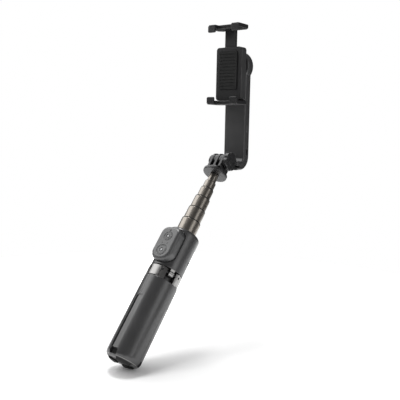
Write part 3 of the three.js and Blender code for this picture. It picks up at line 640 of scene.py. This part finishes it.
def remote_button(name, case, face):
    """A round button with a ring mark and a bright dot, in a hole with a groove round it."""
    radius = span(name)[1].x - 0.9
    place = shifted(FRONT, 0, middle(name).z)
    cut(case, cylinder("hole", radius + 0.12, 0, 40, place, 64))
    groove = rounded([
        (radius + 0.85, face - 0.5, 0.2), (radius + 1.4, face - 0.5, 0.2),
        (radius + 1.5, face + 2), (radius + 0.75, face + 2),
    ], 3)
    cut(case, lathe("groove", groove, place, 96))
    crown = face + 0.1
    profile = rounded([
        (0, face - 3), (radius, face - 3), (radius, crown, 0.25), (2.2, crown, 0.1),
        (2.1, crown - 0.35), (1.6, crown - 0.35), (1.5, crown, 0.1), (0, crown),
    ], 4)
    put(smooth(lathe(name + "_cap", profile, place)), name, "remote_grey")
    mark = rounded([
        (0, crown - 0.4), (0.75, crown - 0.4), (0.75, crown + 0.05, 0.05), (0, crown + 0.05),
    ], 3)
    put(smooth(lathe(name + "_mark", mark, place, 64)), name, "pale_lens", stands_for=False)


def remote():
    """A pebble-shaped case with two buttons, a status light and two tick marks."""
    low, high = span("remote_case")
    face = -low.y
    case = plate("case", remote_outline(0, 14), -high.y, face, FRONT, 3.4, 10, bottom=False)
    cut(case, plate("hollow", remote_outline(-REMOTE_WALL), 0, face - REMOTE_WALL, FRONT))
    cut(case, block("notch", (-NOTCH_HALF, low.z - 5, 0), (NOTCH_HALF, high.z + 5, SEAT + 0.4), FRONT))
    for name in ("shutter_button", "mode_button"):
        remote_button(name, case, face)
    light = shifted(FRONT, 0, middle("remote_light").z)
    cut(case, cylinder("light_hole", 0.8, 0, 40, light, 32))
    ticks = []
    for x in (-3, 3):
        outline = rectangle(x - 0.2, TICK_LOW, x + 0.2, TICK_LOW + TICK_LENGTH, 0.2, 4)
        ticks.append(plate("tick", outline, face - 0.3, face + 1, FRONT))
    cut(case, *ticks)
    put(soften(case, 0.12, 2, 40), "remote_case")


# ---- Hub ----
# Bearings are in degrees from the front towards the right. PIVOT is a leg's pin, in Y and Z.

BEARINGS = {"right": 60, "left": -60, "rear": 180}
PIVOT = (-13, -134.6)
PIN_HOLE = 1.3
KNUCKLE = 3.3
HUB_RADIUS = 15.9
HUB_CORE = 11.1
HUB_BORE = TUBE_BORE + 0.15
HUB_STEP = -131.0
FORK_HALF = 10.1


def at_pin(place):
    """The frame of a leg's pin, for the leg that faces the front of place."""
    return shifted(along_x(place), PIVOT[0], PIVOT[1])


def hub():
    """A round hub with a room for each leg's prongs, and a knuckle in each room."""
    low, high = span("leg_hub")
    bottom = low.z
    profile = rounded([
        (HUB_BORE, bottom), (HUB_RADIUS, bottom, 0.8), (HUB_RADIUS, HUB_STEP, 0.8), (HUB_CORE, HUB_STEP),
        (HUB_CORE, high.z), (HUB_BORE, high.z),
    ], 5)
    piece = lathe("hub", profile, HERE, 144)
    for bearing in BEARINGS.values():
        room_low, room_high = (-FORK_HALF, -20, bottom - 1), (FORK_HALF, -7, HUB_STEP - 0.01)
        room = block("fork_room", room_low, room_high, turned(HERE, bearing))
        cut(room, cylinder("core", HUB_CORE - 0.5, bottom - 5, HUB_STEP + 5, HERE, 144))
        cut(piece, room)
    for bearing in BEARINGS.values():
        place = turned(HERE, bearing)
        knuckle = cylinder("knuckle", KNUCKLE, -2.2, 2.2, at_pin(place), 48)
        web = block("web", (-2.1, -HUB_RADIUS + 0.1, PIVOT[1]), (2.1, -9.6, HUB_STEP + 0.3), place)
        cut(join(knuckle, web), cylinder("bore", HUB_BORE + 0.2, bottom - 5, high.z + 5, HERE, 96))
        join(piece, knuckle)
        cut(piece, cylinder("pin_hole", PIN_HOLE, -5, 5, at_pin(place), 32))
    put(soften(piece, 0.3, 2, 35), "leg_hub")
    # A thin black sheet over the core, seen only in the leg rooms: painted shade deep between the prongs.
    core = ring("hub_core_painted_shade", HUB_CORE - 0.3, HUB_CORE + 0.05, bottom + 0.2, HUB_STEP - 0.2, HERE)
    put(smooth(core), "leg_hub", "black_plastic", stands_for=False)


# ---- Legs, each made facing the front ----
# The seams' bearings are those of the leg's first side. POCKETS are the heights of the hollows in a leg.

LEG_RADIUS = 16.4
LEG_INSIDE = 10.3
LEG_CORNER = 5.5
LEG_WALL = 1.8
LEG_TOP = -142.3
LEG_FLOOR = -217.2
LEG_ANGLE = 120
UPPER_SEAM = -67
LOWER_SEAM = -73
SEAM_GAP = 0.45
JOG = -163
POCKETS = ((-214, -184), (-181, -150))
SLOT_BEARING = 41.5
SLOT_FLOOR = 13.6
FLAT_BEARING = -68
FLAT_DISTANCE = 15.8
RECESS_BEARING = 60
RECESS_FLOOR = LEG_RADIUS - 3.6
OUTSIDE = 18
FOOT_RADIUS = 13.6
RIM_RADIUS = 14.55
RIM_ENDS = (-47, 41)


def sector(name, start, end, low, high):
    """A wedge from the axis outwards, between two bearings from the front."""
    outline = [(0, 0)] + arc(0, 0, 40, -90 + start, -90 + end, 8)
    return plate(name, outline, low, high, HERE)


def band(name, inner, outer, half_angle, low, high, place, edge=0.0):
    """A stretch of a ring, towards the front of place."""
    outline = arc(0, 0, outer, -90 - half_angle, -90 + half_angle, 24)
    outline += arc(0, 0, inner, -90 + half_angle, -90 - half_angle, 24)
    return plate(name, outline, low, high, place, edge)


def facing(bearing):
    """The frame whose Z runs out at a bearing from the front, and whose Y runs up the rod."""
    return along_front(turned(HERE, bearing))


def leg_shell(bottom):
    """A third of the round grip, with a jog in its seams, a slot, a flat and a finger recess."""
    profile = rounded([
        (0, bottom), (LEG_RADIUS, bottom, LEG_CORNER), (LEG_RADIUS, LEG_TOP, 0.8), (0, LEG_TOP),
    ], 12)
    shell = lathe("leg", profile, HERE, 192)
    upper_start, upper_end = UPPER_SEAM + SEAM_GAP, UPPER_SEAM + LEG_ANGLE - SEAM_GAP
    lower_start, lower_end = LOWER_SEAM + SEAM_GAP, LOWER_SEAM + LEG_ANGLE - SEAM_GAP
    third = sector("upper", upper_start, upper_end, JOG, LEG_TOP + 5)
    lower = sector("lower", lower_start, lower_end, bottom - 5, JOG - 0.25)
    step = sector("step", upper_start, lower_end, JOG - 0.6, JOG + 0.6)
    keep(shell, join(third, lower, step))
    cut(shell, cylinder("bore", LEG_INSIDE, LEG_FLOOR, LEG_TOP + 5, HERE, 144))
    cut(shell, cylinder("middle", 1.2, bottom - 5, LEG_TOP, HERE, 32))
    for low, high in POCKETS:
        place = turned(HERE, -8)
        cut(shell, band("pocket", LEG_INSIDE - 1, LEG_RADIUS - LEG_WALL, 41, low, high, place, 0.8))
    slot_low, slot_high = bottom + 7.5, JOG - 0.8
    slot = rounded([(0, slot_low, 0.5), (6, slot_low), (6, slot_high), (0, slot_high, 1.5)], 8)
    flat = rectangle(-4, slot_low - 0.2, 5, slot_high + 1, 2.4)
    recess_low, recess_high = bottom + 1.8, bottom + 7.2
    near = rectangle(-6, recess_low, 3.6, recess_high, 1.3)
    far = rectangle(-4.6, recess_low, 1.5, recess_high, 1.3)
    cut(shell,
        plate("slot", slot, SLOT_FLOOR, OUTSIDE, facing(SLOT_BEARING)),
        plate("flat", flat, FLAT_DISTANCE, OUTSIDE, facing(FLAT_BEARING)),
        plate("recess", near, RECESS_FLOOR, OUTSIDE, facing(-RECESS_BEARING)),
        plate("recess", far, RECESS_FLOOR, OUTSIDE, facing(RECESS_BEARING)))
    foot_middle = turned(HERE, LOWER_SEAM + LEG_ANGLE / 2)
    cut(shell, band("foot_seat", 3.9, FOOT_RADIUS + 0.3, 34.6, bottom - 1, bottom + 2.2, foot_middle))
    return soften(shell, 0.25, 3, 33)


def leg_prongs():
    """Two metal prongs, one on each side of the hub's knuckle."""
    outside = cylinder("outside", LEG_RADIUS - 0.1, LEG_TOP - 6, LEG_TOP + 20, HERE, 144)
    front, back = PIVOT[0] - KNUCKLE, PIVOT[0] + KNUCKLE
    prongs = []
    for side in (-1, 1):
        x0, x1 = sorted((side * 4.9, side * 9.7))
        round_end = cylinder("round_end", KNUCKLE, x0, x1, at_pin(HERE), 48)
        stem = block("stem", (x0, front, LEG_TOP - 4), (x1, back, PIVOT[1]), HERE)
        prongs.append(join(round_end, stem))
    pair = join(*prongs)
    keep(pair, outside)
    cut(pair, cylinder("bore", LEG_INSIDE + 0.3, LEG_TOP - 10, LEG_TOP, HERE, 144))
    cut(pair, cylinder("pin_hole", PIN_HOLE, -12, 12, at_pin(HERE), 32))
    return soften(pair, 0.3, 2, 35)


def leg_foot():
    """A third of a flat rubber ring, rounded at its outer edge, with a groove as tread."""
    low, high = span("foot_left")
    foot = band("foot", 4.2, FOOT_RADIUS, 34, low.z, high.z, turned(HERE, LOWER_SEAM + LEG_ANGLE / 2))
    profile = rounded([
        (0, low.z), (FOOT_RADIUS, low.z, 4), (FOOT_RADIUS, high.z + 2), (0, high.z + 2),
    ], 8)
    keep(foot, lathe("foot_round", profile, HERE, 144))
    cut(foot, ring("tread", 7.6, 8.4, low.z - 1, low.z + 0.4, HERE))
    return soften(foot, 0.3, 3, 35)


def recess_pad(bottom):
    """A thin rubber pad on the floor of the finger recess."""
    outline = rectangle(-2.6, bottom + 2.1, 3.3, bottom + 6.9, 1.1)
    low, high = RECESS_FLOOR - 0.05, RECESS_FLOOR + 0.3
    return smooth(plate("recess_pad", outline, low, high, facing(-RECESS_BEARING), 0.15, 2, bottom=False))


def rim_highlight(bottom):
    """A fine ridge of bright satin metal on the leg's bottom, round the foot: a painted highlight along the bottom
    edge of the shell.
    """
    rim = lathe("rim", arc(RIM_RADIUS, bottom + 1.6, 0.3, 0, 330, 11), HERE, 192)
    return smooth(keep(rim, sector("rim_part", *RIM_ENDS, bottom - 5, bottom + 5)))


def legs():
    """Three alike, each with its prongs, rim, recess pad and foot."""
    bottom = span("leg_left")[0].z
    sources = (
        (leg_shell(bottom), "leg_", None, True),
        (leg_prongs(), "leg_", "satin_metal", False),
        # The rim's bright metal is a painted highlight on the leg's bottom edge.
        (rim_highlight(bottom), "leg_", "satin_metal", False),
        (recess_pad(bottom), "leg_", "rubber", False),
        (leg_foot(), "foot_", None, True),
    )
    for side, bearing in BEARINGS.items():
        for source, node, slot, stands_for in sources:
            piece = twin(source, f"{source.name}_{side}")
            piece.data.transform(turned(HERE, bearing))
            put(piece, node + side, slot, stands_for)
    for source, *_ in sources:
        bpy.data.objects.remove(source)


# ---- Arm ----

ARM_HALF = 12.75
ARM_FRONT = 22.2
ARM_EDGE = 1.7
ARM_BEND = 14
ARM_FOOT_TOP = -0.7
SKIN = 3


def arm_outline(top):
    """The L of the arm from the side, from the hinge to a height on its upright."""
    low, high = span("arm_rear_shell")
    foot_end = span("arm_front_shell")[0].y
    return rounded([
        (foot_end, low.z), (high.y, low.z, ARM_BEND), (high.y, top),
        (ARM_FRONT, top), (ARM_FRONT, ARM_FOOT_TOP, 4.5), (foot_end, ARM_FOOT_TOP),
    ], 16)


def front_region(move_in):
    """Everything in front of the arm's rear cover."""
    low, high = span("arm_rear_shell")
    back, bottom = high.y - move_in, low.z + move_in
    outline = rounded([(-60, bottom), (back, bottom, ARM_BEND - move_in), (back, 300), (-60, 300)], 16)
    return plate("front_side", outline, -40, 40, SIDEWAYS)


def motor_cap(back, place):
    """A shallow round cap with a groove round its middle."""
    face = -back - 1
    profile = rounded([
        (0, face), (3.2, face), (3.6, face + 0.4, 0.2), (4.2, face + 0.4, 0.2),
        (4.6, face), (9.8, face, 1.2), (11, face + 0.9, 0.3), (11, face + 2), (0, face + 2),
    ], 5)
    put(smooth(lathe("cap", profile, place)), "motor_cap")


def arm():
    """An L-shaped housing with a round motor end, and a rear cover with the same outline."""
    high = span("arm_rear_shell")[1]
    back = high.y
    foot_end = span("arm_front_shell")[0].y
    motor = joints["clamp_roll"]["pos_m"][2] / MM - HINGE.z / MM
    motor_frame = shifted(FRONT, 0, motor)
    whole = plate("arm", arm_outline(motor), -ARM_HALF, ARM_HALF, SIDEWAYS, ARM_EDGE, 6)
    end = rounded([
        (0, -back), (high.x, -back, ARM_EDGE), (high.x, -ARM_FRONT, ARM_EDGE), (0, -ARM_FRONT),
    ], 6)
    join(whole, lathe("motor_end", end, motor_frame, 128))
    rooms = [block("tongue_room", (-5, foot_end - 1, -7.3), (5, 21, -1.9), HERE)]
    for x0, x1 in ((6, 20), (-20, -6)):
        rooms.append(block("notch", (x0, foot_end - 1, -6.3), (x1, 14.6, -4.2), HERE))
    cut(whole, *rooms)
    rear = twin(whole, "arm_cover")
    keep(whole, front_region(SKIN + 0.1))
    cut(rear, front_region(SKIN - 0.1))
    port = middle("charging_socket")
    button = middle("power_button")
    port_outline = rectangle(port.y - 1.4, port.z - 3.3, port.y + 1.4, port.z + 3.3, 1.35)
    button_outline = rectangle(button.y - 1.25, button.z - 4.15, button.y + 1.25, button.z + 4.15, 0.5)
    cut(whole,
        block("pocket", (-10.6, ARM_FRONT + 1.6, 8), (10.6, back - SKIN + 1, 79), HERE),
        plate("port_room", port_outline, 6, 20, SIDEWAYS),
        plate("button_room", button_outline, 9, 20, SIDEWAYS),
        cylinder("motor_room", 13.3, -back + SKIN - 1, -ARM_FRONT + 1, motor_frame, 128))
    cut(rear,
        cylinder("cap_room", 11.3, -back - 2, -back + 1.3, motor_frame, 128),
        cylinder("bearing_room", 3.2, -back + 1, -back + SKIN + 1, motor_frame, 64))
    put(soften(whole, 0.2, 2, 35), "arm_front_shell")
    put(soften(rear, 0.2, 2, 35), "arm_rear_shell")
    motor_cap(back, motor_frame)


# ---- Clamp ----

HOOK_GAP = 9.6
JAW_DEPTH = 4
JAW_BACK = 19.2
GRIPS = 16
GRIP_HALF = 0.3
BACK_RIBS = 11
RIB_HALF = 0.45
ROD_ROOM = 1.5


def jaw(name, pad_name, upward):
    """A plate with two hooks over the phone's front. The lower jaw's inner face looks up."""
    low, high = span(name)
    pad_low, pad_high = span(pad_name)
    inner = pad_high.z - 0.1 if upward > 0 else pad_low.z + 0.1
    place = shifted(HERE, 0, 0, inner) @ Matrix.Diagonal((1, 1, upward, 1))
    half = high.x
    front, back = low.y, high.y if upward > 0 else JAW_BACK
    outline = rounded([
        (-half, front, 2.2), (-HOOK_GAP, front, 1), (-HOOK_GAP, 3.2, 0.6), (HOOK_GAP, 3.2, 0.6),
        (HOOK_GAP, front, 1), (half, front, 2.2), (half, back - 4, 1.5), (half - 4, back, 1.5),
        (-half + 4, back, 1.5), (-half, back - 4, 1.5),
    ], 5)
    piece = plate(name, outline, -JAW_DEPTH, 0, place, 0.8, 4)
    for side in (-1, 1):
        x0, x1 = sorted((side * HOOK_GAP, side * half))
        hook = rounded([(x0, -3, 0.8), (x1, -3, 0.8), (x1, 3.6, 1.5), (x0, 3.6, 1.5)], 6)
        join(piece, plate("hook", hook, 0.4, -front, along_front(place), 0.6, 4))
    ridges = []
    for height in (-3.1, -2.2, -1.3):
        corner, other = (-HOOK_GAP + 1, 2.5, height), (HOOK_GAP - 1, 3.5, height + 0.4)
        ridges.append(block("ridge", corner, other, place))
    cut(piece, *ridges)
    cut(piece, block("pad_room", (-half + 1.2, 3.6, -1.2), (half - 1.2, 6.85, 1), place))
    jaw_pad(pad_name, half, place)
    return piece


def jaw_pad(name, half, place):
    """A rubber strip with grooves across it."""
    pad = block(name + "_fine", (-half + 1.5, 3.8, -0.9), (half - 1.5, 6.55, 0.1), place)
    grips = []
    for i in range(GRIPS):
        x = -half + 2.6 + i * (2 * half - 5.2) / (GRIPS - 1)
        grips.append(block("grip", (x - GRIP_HALF, 3, -0.2), (x + GRIP_HALF, 7, 1), place))
    put(soften(cut(pad, *grips), 0.08, 1, 35), name)


def clamp():
    """A fixed lower jaw, and an upper jaw on a slider that runs on two guide rods."""
    lower = jaw("lower_jaw", "lower_jaw_pad", 1)
    put(soften(lower, 0.2, 2, 40), "lower_jaw")
    upper = jaw("upper_jaw", "upper_jaw_pad", -1)
    low, high = span("upper_jaw")
    outline = rectangle(-6.5, low.z, 6.5, high.z - 1, 0.8)
    slider = plate("slider", outline, -14.1, -10.9, FRONT, 0.5)
    foot = block("slider_foot", (-11.6, 10.9, low.z), (11.6, 14.8, low.z + 4), HERE)
    join(upper, join(slider, foot))
    for node in ("guide_rod_left", "guide_rod_right"):
        rod = middle(node)
        cut(upper, cylinder("guide", ROD_ROOM, -60, 160, shifted(HERE, rod.x, rod.y), 32))
    put(soften(upper, 0.2, 2, 40), "upper_jaw")


def back_pad():
    """The rubber pad behind the phone, with ribs across it."""
    low, high = span("back_pad")
    face = -low.y
    outline = rectangle(low.x, low.z, high.x, high.z, 2)
    pad = plate("pad", outline, -high.y, face, FRONT, 0.3, 3, bottom=False)
    left, right = low.x + 1.6, high.x - 1.6
    ribs = []
    for i in range(1, BACK_RIBS + 1):
        z = low.z + (high.z - low.z) * i / (BACK_RIBS + 1)
        rib = rectangle(left, z - RIB_HALF, right, z + RIB_HALF, 0.44, 4)
        ribs.append(plate("rib", rib, face - 0.45, face + 1, FRONT))
    put(soften(cut(pad, *ribs), 0.12, 2, 35), "back_pad")


def springs():
    """Copies the coils of the two jaw springs and shades them smooth."""
    for node in ("jaw_spring_left", "jaw_spring_right"):
        coil = new_object("coil_" + node[12:], frame["nodes"][node].data.copy())
        coil.data.transform(frame_of(node).inverted())
        put(smooth(coil), node)
        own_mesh(coil)


# ---- Everything else keeps its CAD shape, with softened edges ----

def refined():
    for node, obj in frame["nodes"].items():
        if node in replaced:
            continue
        copy = new_object("fine_" + node, obj.data.copy())
        copy.data.transform(frame_of(node).inverted())
        put(soften(copy), node)


# ---- Camera, placed from the middle of the phone that the clamp would hold ----

FOCAL_LENGTH = 54.93
SENSOR_WIDTH = 36
CAMERA_OFFSET = Vector((359.2, -511.7, -66.2)) * MM
CAMERA_RIGHT = Vector((0.795, 0.606, 0.020))
CAMERA_FORWARD = Vector((-0.600, 0.792, -0.113))
PHONE_MIDDLE = 3.2 * MM


def add_camera():
    camera = bpy.data.cameras.new("camera")
    camera.lens = FOCAL_LENGTH
    camera.sensor_width = SENSOR_WIDTH
    camera.clip_start = 0.01
    obj = bpy.data.objects.new("camera", camera)
    forward = CAMERA_FORWARD.normalized()
    right = (CAMERA_RIGHT - forward * CAMERA_RIGHT.dot(forward)).normalized()
    turn = Matrix((right, right.cross(forward), -forward)).transposed()
    roll_centre = Vector(joints["clamp_roll"]["pos_m"])
    phone = Vector((roll_centre.x, HINGE.y + PHONE_MIDDLE, roll_centre.z))
    obj.matrix_world = Matrix.Translation(phone + CAMERA_OFFSET) @ turn.to_4x4()
    bpy.context.scene.collection.objects.link(obj)
    bpy.context.scene.camera = obj


# ---- Floor, in metres ----

FLOOR_RADIUS = 0.5
FLOOR_FORWARD = 0.05
FLOOR_DROP = 0.0002
FLOOR_SHADE = 0.92
GLOW_FROM = 0.07
GLOW_TO = 0.28
GLOW_NEAR = 0.04
GLOW_FAR = 0.6


def floor_paint(tree, shader):
    """Pale and matt, with a glow that grows away from the gimbal until the floor is white."""
    shader.inputs["Base Color"].default_value = (FLOOR_SHADE, FLOOR_SHADE, FLOOR_SHADE, 1)
    shader.inputs["Roughness"].default_value = 0.9
    shader.inputs["Emission Color"].default_value = (1, 1, 1, 1)
    coords = tree.nodes.new("ShaderNodeTexCoord")
    reach = tree.nodes.new("ShaderNodeVectorMath")
    reach.operation = "LENGTH"
    tree.links.new(coords.outputs["Object"], reach.inputs[0])
    glow = remap(tree, reach.outputs["Value"], GLOW_NEAR, GLOW_FAR, GLOW_FROM, GLOW_TO)
    tree.links.new(glow, shader.inputs["Emission Strength"])


def add_floor():
    place = (CENTRE.x, CENTRE.y - FLOOR_FORWARD, cad_low[2] - FLOOR_DROP)
    bpy.ops.mesh.primitive_circle_add(vertices=128, radius=FLOOR_RADIUS, fill_type="NGON", location=place)
    floor = bpy.context.object
    floor.name = "floor"
    floor.data.materials.append(material("floor", floor_paint))


# ---- Light ----

DIFFUSE_SKY = 0.42
GLOSSY_SKY = 0.09
SEEN_SKY = 1.0


def softbox(name, bearing, elevation, distance, size, power):
    """A soft light at a bearing from the front towards the right, aimed at the gimbal's middle."""
    a, e = math.radians(bearing), math.radians(elevation)
    way = Vector((math.sin(a) * math.cos(e), -math.cos(a) * math.cos(e), math.sin(e)))
    light = bpy.data.lights.new(name, "AREA")
    light.energy = power
    light.shape = "RECTANGLE"
    light.size, light.size_y = size
    obj = bpy.data.objects.new(name, light)
    obj.location = CENTRE + way * distance
    obj.rotation_euler = (-way).to_track_quat("-Z", "Y").to_euler()
    bpy.context.scene.collection.objects.link(obj)


def add_sky():
    """White all round: dim on surfaces, dimmer still in their reflections, and plain white behind."""
    world = bpy.data.worlds.new("studio")
    world.use_nodes = True
    tree = world.node_tree
    path = tree.nodes.new("ShaderNodeLightPath")
    seen = tree.nodes["Background"]
    for strength, rays in ((DIFFUSE_SKY, None), (GLOSSY_SKY, "Is Glossy Ray"), (SEEN_SKY, "Is Camera Ray")):
        sky = tree.nodes.new("ShaderNodeBackground")
        sky.inputs["Color"].default_value = (1, 1, 1, 1)
        sky.inputs["Strength"].default_value = strength
        if rays:
            mix = tree.nodes.new("ShaderNodeMixShader")
            tree.links.new(path.outputs[rays], mix.inputs["Fac"])
            tree.links.new(seen.outputs[0], mix.inputs[1])
            tree.links.new(sky.outputs["Background"], mix.inputs[2])
            sky = mix
        seen = sky
    tree.links.new(seen.outputs[0], tree.nodes["World Output"].inputs["Surface"])
    bpy.context.scene.world = world


def add_light():
    bpy.context.scene.view_settings.view_transform = "Standard"
    add_sky()
    softbox("key", -84, 41, 1.2, (2.0, 0.95), 13.2)
    softbox("right", 92, 18, 1.2, (0.55, 0.6), 1.6)
    softbox("strip", 53, -2, 1.2, (0.14, 0.8), 0.7)
    softbox("top", -110, 76, 1.4, (0.4, 0.4), 11)


add_camera()
add_floor()
add_light()
tubes()
rod_head()
knob()
hinge_nut()
body_shells()
bush()
remote()
hub()
legs()
arm()
clamp()
back_pad()
springs()
refined()
